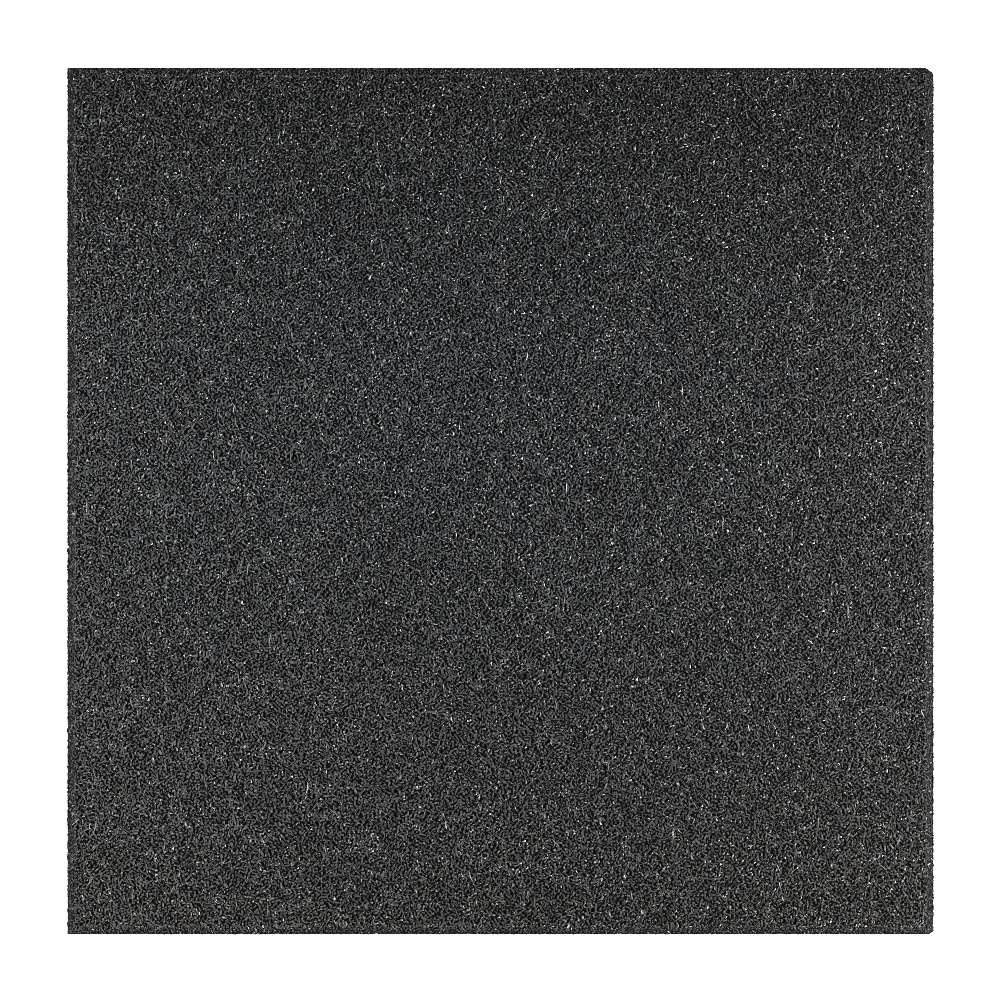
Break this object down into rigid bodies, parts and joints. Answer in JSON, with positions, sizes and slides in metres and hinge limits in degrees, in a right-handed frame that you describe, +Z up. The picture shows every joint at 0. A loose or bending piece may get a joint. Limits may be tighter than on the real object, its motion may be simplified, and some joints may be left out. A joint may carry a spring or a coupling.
{
  "type": "rubber safety tile",
  "caption": "Square slab of bound black crumb rubber with bevelled top edges and a footed, channelled underside; laid loose, edge to edge, as a shock-absorbing floor.",
  "frame": {"origin": "middle of the underside, on the middle foot, in the plane the tile stands on", "axes": "+Z up through the thickness, +X to the right and +Y to the back as seen from above; the two knocked-off corners are at +X"},
  "size_m": [0.5, 0.5, 0.025],
  "materials": {
    "crumb_rubber": "pressed crumb of tyre rubber, 1 to 4 mm grains and shreds in a thin glossy binder, near black with dark pits and small bright glints"
  },
  "bodies": {
    "root": {"tile": "crumb_rubber"}
  },
  "joints": []
}
